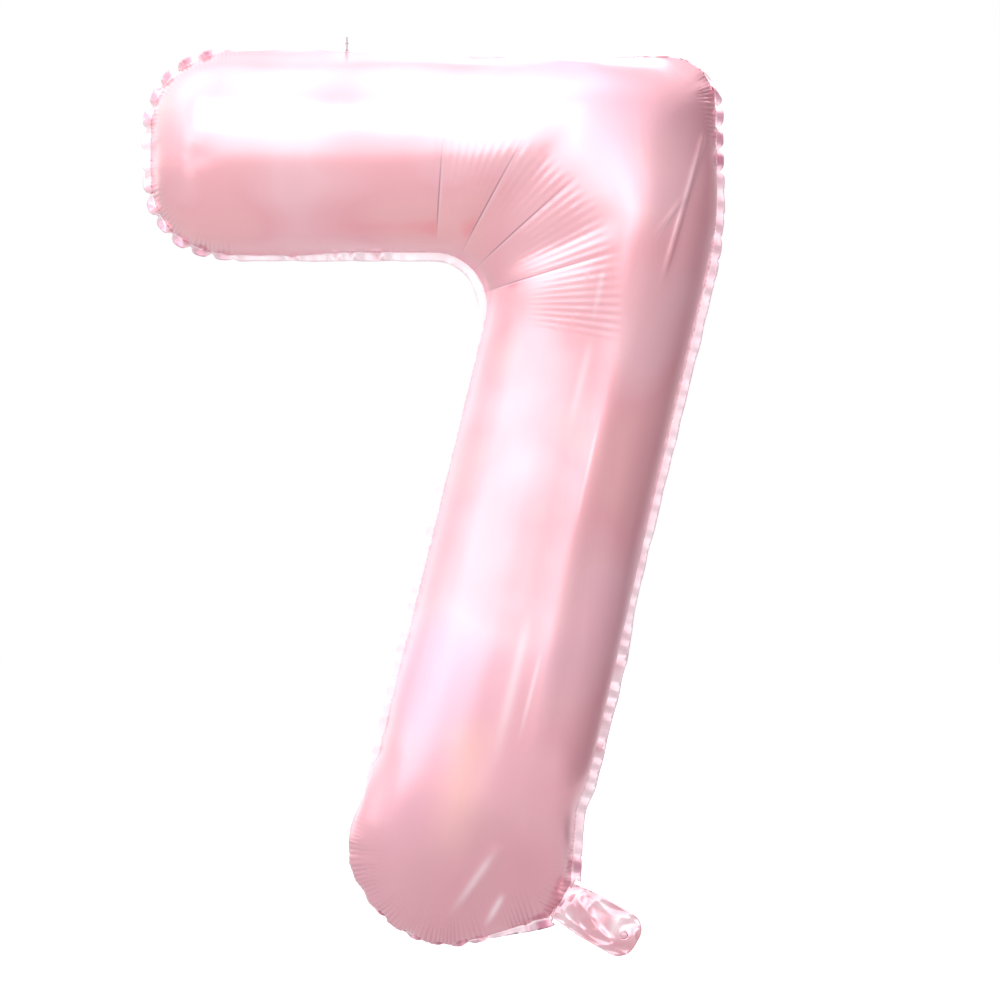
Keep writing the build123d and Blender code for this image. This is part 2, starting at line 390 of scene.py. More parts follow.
def honeycomb(path, spacing, clear, rng):
    """Loose honeycomb of points inside a closed path, and clear of it."""
    low, high = path.min(0) - spacing, path.max(0) + spacing
    rows = int((high[1] - low[1]) / (spacing * cos(pi / 6))) + 1
    columns = int((high[0] - low[0]) / spacing) + 1
    column, row = np.meshgrid(np.arange(columns), np.arange(rows))
    x = low[0] + (column + 0.5 * (row % 2)) * spacing
    y = low[1] + row * spacing * cos(pi / 6)
    points = np.stack([x.ravel(), y.ravel()], 1)
    points += rng.uniform(-0.1, 0.1, points.shape) * spacing
    points = points[inside(path, points)]
    return points[nearest(path, points)[0] > clear]


def triangulate(points, outline, holes=()):
    """Triangles, anticlockwise, over points that start with the outline's and then the holes' own."""
    edges = []
    start = 0
    for loop in (outline, *holes):
        count = len(loop)
        edges += [(start + i, start + (i + 1) % count) for i in range(count)]
        start += count
    _, _, faces, origins, _, _ = delaunay_2d_cdt([Vector(p) for p in points], edges, [], 0, 1e-6)
    index = np.array([origin[0] for origin in origins])
    triangles = index[np.array(faces)]
    middles = points[triangles].mean(1)
    keep = inside(outline, middles)
    for hole in holes:
        keep &= ~inside(hole, middles)
    triangles = triangles[keep]
    a, b, c = (points[triangles[:, k]] for k in range(3))
    turned = (b - a)[:, 0] * (c - a)[:, 1] - (b - a)[:, 1] * (c - a)[:, 0] < 0
    triangles[turned] = triangles[turned][:, ::-1]
    return triangles


def circle(centre, radius, count):
    """Points of a circle."""
    angles = np.arange(count) * 2 * pi / count
    return np.array(centre) + radius * np.stack([np.cos(angles), np.sin(angles)], 1)


def mesh_object(name, points, faces):
    """An object of the scene with these points and faces."""
    mesh = bpy.data.meshes.new(name)
    mesh.from_pydata([tuple(p) for p in points], [], [tuple(int(i) for i in f) for f in faces])
    mesh.validate()
    result = bpy.data.objects.new(name, mesh)
    bpy.context.scene.collection.objects.link(result)
    return result


def coordinates(mesh):
    """Places of a mesh's vertices, one row each."""
    values = np.empty(len(mesh.vertices) * 3)
    mesh.vertices.foreach_get("co", values)
    return values.reshape(-1, 3)


def applied(piece):
    """The piece with its modifiers made part of its mesh."""
    graph = bpy.context.evaluated_depsgraph_get()
    mesh = bpy.data.meshes.new_from_object(piece.evaluated_get(graph))
    piece.modifiers.clear()
    piece.data = mesh
    return piece


def thickened(piece, thickness):
    """The sheet given a thickness, half to each side."""
    solid = piece.modifiers.new("thickness", "SOLIDIFY")
    solid.thickness = thickness * MM
    solid.offset = 0
    applied(piece)
    piece.data.shade_smooth()
    return piece


# ---------------------------------------------------------------- inflation

FIRST_SWELL = 12.0
SWELL_REACH = 40.0
ELBOW_FOLD_ANGLES = (86.0, 61.0, 41.3, 15.6)
FOLD_SEED_DEPTH = 5.0
FOLD_SEED_WIDTH = 9.0
FOLD_SEED_START = 6.0
FOLD_SEED_REACH = 190.0
UNEVENNESS = 0.4
# The first row of points inside the weld, and how clear of it and of each other the rest stay, in cells.
FIRST_ROW = 0.9
FIRST_ROW_CLEAR = 0.85
GRID_CLEAR = 0.6
CLOTH_SETTINGS = {
    "quality": 6,
    "mass": 0.002,
    "air_damping": 1,
    "tension_stiffness": 800,
    "shear_stiffness": 400,
    "compression_stiffness": 5,
    "bending_stiffness": 0.1,
    "tension_damping": 5,
    "compression_damping": 5,
    "shear_damping": 5,
    "bending_damping": 0.5,
    "use_pressure": True,
    "uniform_pressure_force": 80,
    "vertex_group_mass": "weld",
}


def fold_seeds(points):
    """Depth of shallow radial grooves at the elbow, which tell the film where to fold."""
    reach, angle = polar(points[:, 0], points[:, 1], flat_corners[7])
    opened = (90 - ELBOW_OPENING + STEM_LEAN) / (90 + STEM_LEAN)
    window = np.clip((reach - FOLD_SEED_START) / 15, 0, 1) * np.clip((FOLD_SEED_REACH - reach) / 40, 0, 1)
    depth = np.zeros(len(points))
    for filled_angle in ELBOW_FOLD_ANGLES:
        flat_angle = -STEM_LEAN + (filled_angle + STEM_LEAN) * opened
        sideways = np.radians(angle - flat_angle) * reach
        depth = np.maximum(depth, FOLD_SEED_DEPTH * hump(sideways, FOLD_SEED_WIDTH) * window)
    return depth


def flat_film():
    """Points of the flat film, the weld's first, its triangles, the weld's count and the random source."""
    rng = np.random.default_rng(SEED)
    weld = rounded(flat_corners, FLAT_RADII, CELL)
    inner = weld - outward_normals(weld) * CELL * FIRST_ROW
    inner = inner[nearest(weld, inner)[0] > FIRST_ROW_CLEAR * CELL]
    grid = honeycomb(resample(inner, CELL / 3), CELL, GRID_CLEAR * CELL, rng)
    flat = np.vstack([weld, inner, grid])
    return flat, triangulate(flat, weld), len(weld), rng


def inflate():
    """Both skins after inflation: their points, the two sets of triangles and the weld's count."""
    flat, front_faces, weld_count, rng = flat_film()
    weld = flat[:weld_count]
    count = len(flat)
    to_back = np.concatenate([np.arange(weld_count), np.arange(count, 2 * count - weld_count)])
    back_faces = to_back[front_faces][:, ::-1]

    swell = FIRST_SWELL * np.clip(nearest(weld, flat)[0] / SWELL_REACH, 0, 1) - fold_seeds(flat)
    swell[:weld_count] = 0
    front = place(flat[:, 0], flat[:, 1], swell)
    back = place(flat[weld_count:, 0], flat[weld_count:, 1], -swell[weld_count:])
    points = np.vstack([front, back])
    points[:, 1] += rng.uniform(-UNEVENNESS, UNEVENNESS, len(points)) * MM
    film = mesh_object("film", points, np.vstack([front_faces, back_faces]))

    guided = points.copy()
    guide = seam_guide(weld)
    guided[:weld_count] = place(guide[:, 0], guide[:, 1], 0)
    film.shape_key_add(name="Basis")
    led = film.shape_key_add(name="guide")
    led.data.foreach_set("co", guided.ravel())
    for value, moment in ((0, 1), (1, GUIDE_FRAMES)):
        led.value = value
        led.keyframe_insert("value", frame=moment)
    film.vertex_groups.new(name="weld").add(list(range(weld_count)), 1.0, "REPLACE")

    cloth = film.modifiers.new("cloth", "CLOTH")
    cloth.collision_settings.use_collision = False
    cloth.point_cache.frame_start = 1
    cloth.point_cache.frame_end = FRAMES
    for key, value in CLOTH_SETTINGS.items():
        setattr(cloth.settings, key, value)
    cloth.settings.effector_weights.gravity = 0
    scene = bpy.context.scene
    scene.frame_start = 1
    scene.frame_end = FRAMES
    for moment in range(1, FRAMES + 1):
        scene.frame_set(moment)
    graph = bpy.context.evaluated_depsgraph_get()
    result = coordinates(film.evaluated_get(graph).data)
    bpy.data.objects.remove(film)
    scene.frame_set(1)
    return result, front_faces, back_faces, weld_count


def relaxed(points, faces, weights, rounds, pulls=(0.5, -0.52)):
    """The points drawn towards their neighbours and back, which evens out small wrinkles."""
    pairs = np.vstack([faces[:, (0, 1)], faces[:, (1, 2)], faces[:, (2, 0)]])
    pairs = np.unique(np.sort(pairs, axis=1), axis=0)
    degree = np.bincount(pairs.ravel(), minlength=len(points))[:, None]
    for pull in pulls * rounds:
        total = np.zeros_like(points)
        np.add.at(total, pairs[:, 0], points[pairs[:, 1]])
        np.add.at(total, pairs[:, 1], points[pairs[:, 0]])
        points = points + (total / np.maximum(degree, 1) - points) * (pull * weights[:, None])
    return points


# ---------------------------------------------------------------- folds and pleats of the skins

# Here and below, tuples of two or four values are where the soft masks of step() and band() change.
SCALLOP = 21.0
PUCKER_REACH = 25
SHOULDER_PUCKER = 0.2
SHOULDER_PUCKER_Y = (-10, -35, -100, -125)
SHOULDER_LEFT_X = BAR_LENGTH - 70
SHOULDER_BOTTOM_Y = -130
NECK_PLEATS = (75, 40)
OVERHANG_Y = (-660, -730)
OVERHANG_X = (388, 348)
WAVER_PARTS = np.array([0.7, 1.0, 1.37, 1.9])
WAVER_GAIN = 1.6
# Wavelength and seed of each irregular wave along the seam.
SEAM_WAVER = (40, 3)
CRINKLE_WAVER = (27, 11)
EDGE_WAVER = (60, 5)
PLEAT_SWAY = (70, 21)
PLEAT_STRENGTH = (48, 22)
WOBBLE = 1.3
LOOSE_WOBBLE = 0.5
WOBBLE_REACH = 13.0

FOLD_DEPTH = 1.7
FOLD_WIDTH = 9.0
ELBOW_FOLD_REACH = ((60, 165), (50, 196), (46, 194), (44, 196))
ELBOW_FOLD_FADES = (14, 60)
SINGLE_FOLD_FADES = (14, 20)
RIDGE_HEIGHT = 0.3
RIDGE_PLACE = 2.6
RIDGE_WIDTH = 2.2
FAN_PLEAT_ANGLE = 2.75
FAN_PLEAT_DEPTH = 0.24
FAN_ANGLES = (-14, -6, 85, 91)
FAN_REACH = (78, 123, 161, 186)
STEM_FOLDS_RUN = (60, 220, 520, 640)
# Start, end, depth and width of each single fold.
SINGLE_FOLDS = (
    ((527, -84), (492, -206), 1.6, 2.4),
    ((504, -145), (488, -167), 1.0, 2.0),
    ((330, -762), (289, -818), 3.0, 7.0),
    ((336, -806), (325, -826), 2.2, 5.0),
    ((362, -775), (360, -730), 1.6, 6.0),
)
PUCKER_DEPTH = 0.55
PUCKER_REACHES = (24, 10)
BULGE = 5.5
BULGE_DISTANCE = (0, 16, 22, 58)
RIM_PLEAT = 4.6
RIM_PLEAT_DEPTH = 0.42
RIM_REACH = 34.0
HIDDEN_RIM_REACH = 6.0
REFINED_FROM = 0.3


def rim_pucker():
    """How tightly the seam curves outward at each of its points, from 0 on straight runs to 1."""
    run = np.roll(seam, -1, 0) - seam
    turn = np.roll(run, 1, 0)
    bend = turn[:, 1] * run[:, 0] - turn[:, 0] * run[:, 1]
    count = 2 * PUCKER_REACH + 1
    padded = np.concatenate([bend[-PUCKER_REACH:], bend, bend[:PUCKER_REACH]])
    mean_bend = np.convolve(padded, np.ones(count) / count, "valid")
    x, y = seam[:, 0], seam[:, 1]
    by_shoulder = SHOULDER_PUCKER + (1 - SHOULDER_PUCKER) * band(y, *SHOULDER_PUCKER_Y)
    at_shoulder = (x > SHOULDER_LEFT_X) & (y > SHOULDER_BOTTOM_Y)
    return np.where(at_shoulder, by_shoulder, np.clip(mean_bend * BOTTOM_RADIUS, 0, 1))


seam_points = place(seam[:, 0], seam[:, 1], 0)
seam_outward = outward_normals(seam)
scallop_turns = round(seam_lengths[-1] / SCALLOP)
pucker = rim_pucker()
pleated = np.maximum(pucker, step(polar(seam[:, 0], seam[:, 1], neck_centre)[0], *NECK_PLEATS))
overhang = step(seam[:, 1], *OVERHANG_Y) * step(seam[:, 0], *OVERHANG_X)


def seam_turns(place_along, turns):
    """Angle at a length along the seam, for a wave that goes round it so many times."""
    return 2 * pi * turns * place_along / seam_lengths[-1]


def waver(place_along, wavelength, seed):
    """Smooth irregular wave, mostly between -1 and 1, of the length along the seam."""
    rng = np.random.default_rng(seed)
    turns = np.round(seam_lengths[-1] / wavelength * WAVER_PARTS)
    phases = rng.uniform(0, 2 * pi, len(turns))
    return np.sin(seam_turns(place_along[..., None], turns) + phases).mean(-1) * WAVER_GAIN


def pucker_at(place_along):
    """The seam's pucker at a length along it."""
    return np.interp(place_along, seam_lengths[:-1], pucker)


def seam_wobble(place_along):
    """How far the seam itself swings to the front at a length along it."""
    swing = WOBBLE * np.sin(seam_turns(place_along, scallop_turns))
    return pucker_at(place_along) * (swing + LOOSE_WOBBLE * waver(place_along, *SEAM_WAVER))


def fold_point(angle, reach):
    """A point on one of the creases that run out from the inner corner."""
    return tuple(fan_centre + heading(angle) * reach)


def crease(run, sideways, length, depth, width):
    """A sharp valley along a line with a soft ridge beside it, fading out at both ends."""
    fade_in, fade_out = SINGLE_FOLD_FADES
    window = band(run, -fade_in, 0, length - fade_out, length + fade_out)
    ridge = RIDGE_HEIGHT * hump(sideways - RIDGE_PLACE * width, RIDGE_WIDTH * width)
    return depth * window * (ridge - hump(sideways, width))


def elbow_relief(x, y):
    """Radial creases round the inner corner, with a fan of fine pleats between them."""
    reach, angle = polar(x, y, fan_centre)
    fade_in, fade_out = ELBOW_FOLD_FADES
    relief = np.zeros(len(x))
    for fold_angle, (start, end) in zip(ELBOW_FOLD_ANGLES, ELBOW_FOLD_REACH):
        sideways = np.radians(fold_angle - angle) * reach
        window = band(reach, start, start + fade_in, end - fade_out, end)
        relief -= FOLD_DEPTH * window * np.exp(-abs(sideways) / FOLD_WIDTH)
    fan = band(angle, *FAN_ANGLES) * band(reach, *FAN_REACH)
    wander = 0.35 * np.sin(reach / 23 + angle / 9)
    return relief + FAN_PLEAT_DEPTH * fan * np.sin(angle * 2 * pi / FAN_PLEAT_ANGLE + wander)


def long_relief(x, y):
    """Soft lengthwise folds of the stem and the few single folds seen on the digit."""
    run, side = measured(x, y, seam_shoulder, down_stem, across_stem)
    drift = side + 6 * np.sin(run / 130)
    waves = 0.2 * np.sin(drift / 5.2) + 0.4 * np.sin(drift / 8.7 + 1 + run / 210)
    relief = waves * band(run, *STEM_FOLDS_RUN)
    for start, end, depth, width in SINGLE_FOLDS:
        length = hypot(end[0] - start[0], end[1] - start[1])
        direction = (end[0] - start[0]) / length, (end[1] - start[1]) / length
        run, side = measured(x, y, start, direction, (-direction[1], direction[0]))
        relief -= crease(run, side, length, depth, width)
    return relief


def rim_relief(distance, place_along, hidden_seam):
    """Broad puckers beside the seam, which reach further in where the skin hides it."""
    uneven = 0.6 * np.sin(seam_turns(place_along, 37))
    broad = np.cos(seam_turns(place_along, scallop_turns) + uneven)
    reach, hidden_reach = PUCKER_REACHES
    window = step(distance, 0, 5) * hump(distance, reach + hidden_reach * hidden_seam)
    return PUCKER_DEPTH * pucker_at(place_along) * broad * window


def rim_pleats(distance, place_along, index):
    """The wave of the finest pleats beside the seam, and how strong it is, from 0 to 1."""
    phase = seam_turns(place_along, round(seam_lengths[-1] / RIM_PLEAT))
    wave = np.cos(phase + 2.5 * waver(place_along, *PLEAT_SWAY))
    uneven = np.clip(0.85 + 0.6 * waver(place_along, *PLEAT_STRENGTH), 0, 1)
    close = np.maximum(hump(distance, RIM_REACH + HIDDEN_RIM_REACH * overhang[index]) - 0.1, 0)
    return wave, step(distance, 0, 4) * close * uneven * pleated[index]


def refine_rim(mesh):
    """Splits the faces beside the puckered parts of the seam once more, for the finest pleats."""
    distance, index = nearest(seam_points, coordinates(mesh))
    close = (distance < RIM_REACH * MM) & (pleated[index] > REFINED_FROM)
    sheet = bmesh.new()
    sheet.from_mesh(mesh)
    edges = [edge for edge in sheet.edges if close[edge.verts[0].index] and close[edge.verts[1].index]]
    bmesh.ops.subdivide_edges(sheet, edges=edges, cuts=1, use_grid_fill=True)
    sheet.to_mesh(mesh)
    sheet.free()


def fine_quads(name, points, faces):
    """A sheet of triangles turned into quads, subdivided twice."""
    used, compact = np.unique(faces, return_inverse=True)
    piece = mesh_object(name, points[used], compact.reshape(faces.shape))
    sheet = bmesh.new()
    sheet.from_mesh(piece.data)
    flatness = radians(60)
    bmesh.ops.join_triangles(
        sheet, faces=sheet.faces, angle_face_threshold=flatness, angle_shape_threshold=flatness
    )
    sheet.to_mesh(piece.data)
    sheet.free()
    levels = piece.modifiers.new("smooth", "SUBSURF")
    levels.levels = 2
    levels.render_levels = 2
    levels.boundary_smooth = "ALL"
    return applied(piece)


def skin(name, points, faces):
    """One foil skin, fine enough for its creases and pleats, which are pressed in along its normals."""
    piece = fine_quads(name, points, faces)
    mesh = piece.data
    refine_rim(mesh)
    mesh.shade_smooth()
    places = coordinates(mesh)
    normals = np.empty(len(mesh.vertices) * 3)
    mesh.vertex_normals.foreach_get("vector", normals)
    x, y, _ = unplace(places)
    distance, index = nearest(seam_points, places)
    distance = distance / MM
    ahead = np.roll(seam, -1, 0) - seam
    offset = np.stack([x, y], 1) - seam[index]
    place_along = seam_lengths[index] + np.clip((offset * ahead[index]).sum(1), -0.6, 0.6)
    relief = elbow_relief(x, y) + long_relief(x, y) * step(distance, 0, 30)
    relief = relief * step(distance, 0, 12) + rim_relief(distance, place_along, overhang[index])
    wave, amount = rim_pleats(distance, place_along, index)
    relief += RIM_PLEAT_DEPTH * amount * wave
    places += normals.reshape(-1, 3) * relief[:, None] * MM
    places[:, 1] -= seam_wobble(place_along) * hump(distance, WOBBLE_REACH) * MM
    bulge = BULGE * overhang[index] * band(distance, *BULGE_DISTANCE)
    places[:, (0, 2)] += seam_outward[index] * bulge[:, None] * MM
    mesh.vertices.foreach_set("co", places.ravel())
    # Share of painted shade for the valleys of the finest pleats, which the foil's material darkens.
    valley = mesh.attributes.new("valley", "FLOAT", "POINT")
    valley.data.foreach_set("value", amount * (0.5 - 0.5 * wave) ** 2)
    mesh.update()
    return piece


CAP = (105, 35)
CAP_END = (150, 90)
CAP_PULL = 0.95
ELBOW = (360, 270)
ELBOW_PULL = 0.75
NECK = (130, 70)
TOP_RIGHT = (BAR_LENGTH - 25, -25)
TOP_RIGHT_REACH = (105, 55)
EVENING_ROUNDS = 40
CAP_ROUNDS = 10
TOP_RIGHT_ROUNDS = 14
LAST_ROUNDS = 8
SHRINKING = (0.5,)


def drawn_to_cad(points, weights, node, side):
    """The points' depths drawn by their weights towards the CAD's own surface."""
    tree = BVHTree.FromObject(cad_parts[node], bpy.context.evaluated_depsgraph_get())
    points = points.copy()
    for index in np.flatnonzero(weights > 0):
        x, y, z = points[index]
        hit = tree.ray_cast(Vector((x, -side, z)), Vector((0, side, 0)))[0]
        if hit is not None:
            points[index, 1] += weights[index] * (hit.y - y)
    return points


def build_skins():
    """The front and the rear skin, inflated, evened out and drawn to the CAD at the cap and elbow."""
    points, front_faces, back_faces, weld_count = inflate()
    faces = np.vstack([front_faces, back_faces])
    loose = np.arange(len(points)) >= weld_count
    distance = nearest(seam_points, points)[0] / MM
    x, y, depth = unplace(points)
    at_cap = step(x, *CAP)
    at_elbow = step(polar(x, y, fan_centre)[0], *ELBOW)
    at_neck = step(polar(x, y, neck_centre)[0], *NECK)
    near_ends = np.maximum(np.maximum(at_cap, at_elbow), at_neck)
    weights = loose * np.maximum(step(distance, 4, 30), near_ends * step(distance, 0, 10))
    points = relaxed(points, faces, weights, EVENING_ROUNDS)
    at_cap_end = loose * step(x, *CAP_END) * step(distance, 0, 9)
    points = relaxed(points, faces, at_cap_end, CAP_ROUNDS, SHRINKING)
    pull = loose * np.maximum(CAP_PULL * at_cap, ELBOW_PULL * at_elbow) * step(distance, 0, 8)
    points = drawn_to_cad(points, pull * (depth > 0), "front_foil_panel", 1)
    points = drawn_to_cad(points, pull * (depth < 0), "rear_foil_panel", -1)
    at_top_right = loose * step(polar(x, y, TOP_RIGHT)[0], *TOP_RIGHT_REACH) * step(distance, 0, 9)
    points = relaxed(points, faces, at_top_right, TOP_RIGHT_ROUNDS, SHRINKING)
    points = relaxed(points, faces, weights, LAST_ROUNDS)
    return skin("front_skin", points, front_faces), skin("rear_skin", points, back_faces)


# ---------------------------------------------------------------- the seal round the edge

SEAL_CELL = 2.0
SEAL_THICKNESS = 0.3
SEAL_TUCK = 1.0
EYELET_SIDES = 20
EYELET_COLLAR = 0.7
EYELET_CALM = (4, 18)
TAIL_NOTCH_START = 3.0
TAIL_NOTCH_HALF_WIDTH = 23.5
# Where the seal is crinkled, and how much its free edge moves there.
RIGHT_HALF_X = 300
UNDER_BAR_X = 186
UNDER_BAR_REACH = 70
TOP_RUN_X = 320
TOP_RUN_REACH = 60
LEFT_RUN_Y = (-380, -440, -640, -700)
RIGHT_RUN_Y = (-60, -120)
LOOSE_RUN_Y = (-520, -580, -695, -735)
CRINKLE = 0.05
UNDER_BAR_CRINKLE = 2.4
TOP_CRINKLE = 0.8
LEFT_CRINKLE = 0.3
RIGHT_CRINKLE = 0.5
LOOSE_CRINKLE = 1.4
# The top right corner, where the seal lies against the skin, and the neck, where it is whole.
HIDDEN_CORNER_X = (440, 470)
HIDDEN_CORNER_Y = (-45, -25)
NECK_WHOLE = (32, 66)
# How far the free edge is drawn in to the seam, in shares of the seal's width.
LOBE_DRAW_IN = 0.15
BETWEEN_LOBES_DRAW_IN = 0.75
UNEVEN_DRAW_IN = 0.05
OVERHANG_DRAW_IN = 0.45
CORNER_DRAW_IN = 0.8
LOOSE_DRAW_IN = -0.5
DRAW_IN_LIMITS = (-0.6, 0.88)


def side_of_stem(points):
    """How far points lie to the right of the stem's middle."""
    return (points - seam_shoulder) @ across_stem + STEM_WIDTH / 2


def from_eyelets(points):
    """Distance of each point from the middle of the closest eyelet."""
    return np.min([polar(points[:, 0], points[:, 1], (x, EYELET_ABOVE_SEAM))[0] for x in EYELETS_X], 0)


def flat_seal():
    """Points and triangles of the flat seal, with its eyelets and without the tail's notch."""
    inner = resample(seam, SEAL_CELL)
    inner = inner - outward_normals(inner) * SEAL_TUCK
    outer = seam + outward_normals(seam) * SEAM_WIDTH
    outer = resample(outer[nearest(seam, outer)[0] > SEAM_WIDTH - 0.1], SEAL_CELL)
    holes, collars = (
        [circle((x, EYELET_ABOVE_SEAM), radius, EYELET_SIDES) for x in EYELETS_X]
        for radius in (EYELET_RADIUS, EYELET_RADIUS + EYELET_COLLAR)
    )
    grid = honeycomb(outer, SEAL_CELL, GRID_CLEAR * SEAL_CELL, np.random.default_rng(SEED))
    grid = grid[~inside(inner, grid)]
    grid = grid[nearest(inner, grid)[0] > GRID_CLEAR * SEAL_CELL]
    grid = grid[from_eyelets(grid) > EYELET_RADIUS + 2 * EYELET_COLLAR]
    points = np.vstack([outer, inner, *holes, *collars, grid])
    faces = triangulate(points, outer, (inner, *holes))
    middle = points[faces].mean(1)
    run, side = measured(middle[:, 0], middle[:, 1], neck_centre, tail_run, tail_side)
    in_notch = (run > TAIL_NOTCH_START) & (run < TAIL_LENGTH + 20) & (abs(side) < TAIL_NOTCH_HALF_WIDTH)
    return points, faces[~in_notch]


def build_seal():
    """The welded edge outside the seam line, scalloped at the round ends and crinkled elsewhere."""
    points, faces = flat_seal()
    x, y = points[:, 0], points[:, 1]
    distance, index = nearest(seam, points)
    share = distance / SEAM_WIDTH
    place_along = seam_lengths[index]
    strength = pucker_at(place_along)
    calm = step(from_eyelets(points), *EYELET_CALM)
    right_of_stem = side_of_stem(points) > 0
    right_half = x > RIGHT_HALF_X
    under_bar = (abs(y + BAR_WIDTH + 5) < 8) * hump(x - UNDER_BAR_X, UNDER_BAR_REACH)
    top_run = (y > 0) * hump(x - TOP_RUN_X, TOP_RUN_REACH)
    left_run = ~right_of_stem * band(y, *LEFT_RUN_Y)
    right_run = right_half * right_of_stem * step(y, *RIGHT_RUN_Y)
    loose_run = right_half * band(y, *LOOSE_RUN_Y)
    crinkle = CRINKLE + UNDER_BAR_CRINKLE * under_bar + TOP_CRINKLE * top_run + LEFT_CRINKLE * left_run
    crinkle += RIGHT_CRINKLE * right_run + LOOSE_CRINKLE * loose_run
    ripple = crinkle * waver(place_along, *CRINKLE_WAVER) * (1 - 0.5 * strength)
    depth = seam_wobble(place_along) * (1 + 1.3 * share) + ripple * share * calm
    depth[inside(seam, points)] = 0

    lobe = abs(np.sin(seam_turns(place_along, scallop_turns) / 2))
    hidden_corner = step(x, *HIDDEN_CORNER_X) * step(y, *HIDDEN_CORNER_Y)
    draw_in = strength * (LOBE_DRAW_IN + BETWEEN_LOBES_DRAW_IN * (1 - lobe) ** 2) * (1 - hidden_corner)
    draw_in += UNEVEN_DRAW_IN * (1 + waver(place_along, *EDGE_WAVER)) * calm
    draw_in += OVERHANG_DRAW_IN * overhang[index] + CORNER_DRAW_IN * hidden_corner
    draw_in = np.clip(draw_in + LOOSE_DRAW_IN * loose_run, *DRAW_IN_LIMITS)
    draw_in = distance * draw_in * step(polar(x, y, neck_centre)[0], *NECK_WHOLE)
    toward = seam[index] - points
    toward /= np.maximum(np.linalg.norm(toward, axis=1), 1e-6)[:, None]
    points = points + toward * draw_in[:, None] * (distance > 1.2)[:, None]

    used, compact = np.unique(faces, return_inverse=True)
    places = place(points[:, 0], points[:, 1], depth)[used]
    seal = mesh_object("seam_seal", places, compact.reshape(faces.shape))
    # Painted shade on the curled lobes of the scalloped edge and along the crinkled seal right of the stem.
    curl_shade = seal.data.attributes.new("curl_shade", "FLOAT", "POINT")
    curl_shade.data.foreach_set("value", ((strength * lobe + 0.3 * right_run) * step(share, 0, 0.25))[used])
    return thickened(seal, SEAL_THICKNESS)


# ---------------------------------------------------------------- the tail and the valve mouth

TAIL_CELL = 1.3
TAIL_CORNER_RADIUS = 8.0
INLET_SIDES = 28
CRUMPLES = ((78, 12.5, 0.7), (20, 19.0, 0.9), (-38, 26.0, 1.0))
FILM_THICKNESS = 0.2
WELD_THICKNESS = 0.3
MOUTH_THICKNESS = 0.1
MOUTH_WELD_THICKNESS = 0.16
MOUTH_LEVEL = 0.35
inlet_run = TAIL_LENGTH - INLET_FROM_TIP


def tail_crumple(run, side):
    """Depth of the tail's middle surface, creased as thin film creases."""
    depth = np.zeros_like(run)
    for angle, length, height in CRUMPLES:
        across = run * cos(radians(angle + 10)) + side * sin(radians(angle + 10))
        wander = 1.3 * np.sin(side / 7 + angle) + 0.9 * np.sin(run / 11 - angle)
        depth += height * (0.6 - abs(np.sin(pi * across / length + wander)))
    depth += 3.0 * step(run, 30, 84) * np.sin(run / 19)
    beside_inlet = 1 - np.exp(-((run - inlet_run) ** 2 + side**2) / 90)
    return step(run, 1, 11) * depth * beside_inlet


def tail_gap(run, side):
    """Half of the space between the tail's films, largest just after the neck."""
    middle = np.clip(1 - (side / (TAIL_WIDTH / 2 - TAIL_EDGE_WELD)) ** 2, 0, 1)
    puff = 2.6 * band(run, 0, 12, 6, 46) + 0.8 * step(run, 0, 20)
    return 0.35 + puff * middle


def tail_path(start, shrink):
    """Outline of the tail from a length along it, drawn in by shrink, clockwise."""
    half = TAIL_WIDTH / 2 - shrink
    root = NECK_WIDTH / 2 - shrink
    upper = [(start, root), (TAIL_FULL_WIDTH_AT, half), (TAIL_LENGTH - shrink, half)]
    lower = [(run, -side) for run, side in reversed(upper)]
    radii = (0.5, TAIL_CORNER_RADIUS, TAIL_END_RADIUS - shrink)
    return rounded([np.array(corner) for corner in upper + lower], radii + radii[::-1], TAIL_CELL)


def mouth_strip(low, high):
    """Outline of a strip along the valve's mouth, clockwise."""
    corners = ((VALVE_START, high), (VALVE_MOUTH, high), (VALVE_MOUTH, low), (VALVE_START, low))
    return rounded([np.array(corner) for corner in corners], (0.4,) * 4, TAIL_CELL)


def tail_sheet(name, outline, level, thickness, holes=()):
    """A thin sheet that follows the tail's crumpled form, at a share of the gap between its films."""
    grid = honeycomb(outline, TAIL_CELL, GRID_CLEAR * TAIL_CELL, np.random.default_rng(SEED))
    for hole in holes:
        grid = grid[~inside(hole, grid)]
        grid = grid[nearest(hole, grid)[0] > 0.4 * TAIL_CELL]
    points = np.vstack([outline, *holes, grid])
    faces = triangulate(points, outline, holes)
    run, side = points.T
    depth = tail_crumple(run, side) + level * tail_gap(run, side)
    flat = neck_centre + points @ np.stack([tail_run, tail_side])
    piece = mesh_object(name, place(flat[:, 0], flat[:, 1], depth), faces)
    return thickened(piece, thickness)


def build_tail():
    """The tail's two films and edge weld."""
    inlet = circle((inlet_run, 0), INLET_RADIUS, INLET_SIDES)
    whole = tail_path(-0.3, 0)
    front = tail_sheet("tail_front", whole, 1, FILM_THICKNESS, (inlet,))
    rear = tail_sheet("tail_rear", whole, -1, FILM_THICKNESS)
    inner = tail_path(4.5, TAIL_EDGE_WELD)
    return front, rear, tail_sheet("tail_weld", tail_path(2.0, 0.3), 0, WELD_THICKNESS, (inner,))


def build_mouth():
    """The two films of the valve's mouth inside the tail, and the welds along its sides."""
    half = VALVE_WIDTH / 2
    film, inside_weld = mouth_strip(-half, half), half - VALVE_WELD_WIDTH
    front = tail_sheet("mouth_front", film, MOUTH_LEVEL, MOUTH_THICKNESS)
    rear = tail_sheet("mouth_rear", film, -MOUTH_LEVEL, MOUTH_THICKNESS)
    upper = tail_sheet("mouth_weld_3", mouth_strip(inside_weld, half), 0, MOUTH_WELD_THICKNESS)
    lower = tail_sheet("mouth_weld_1", mouth_strip(-half, -inside_weld), 0, MOUTH_WELD_THICKNESS)
    return front, rear, upper, lower


# ---------------------------------------------------------------- materials


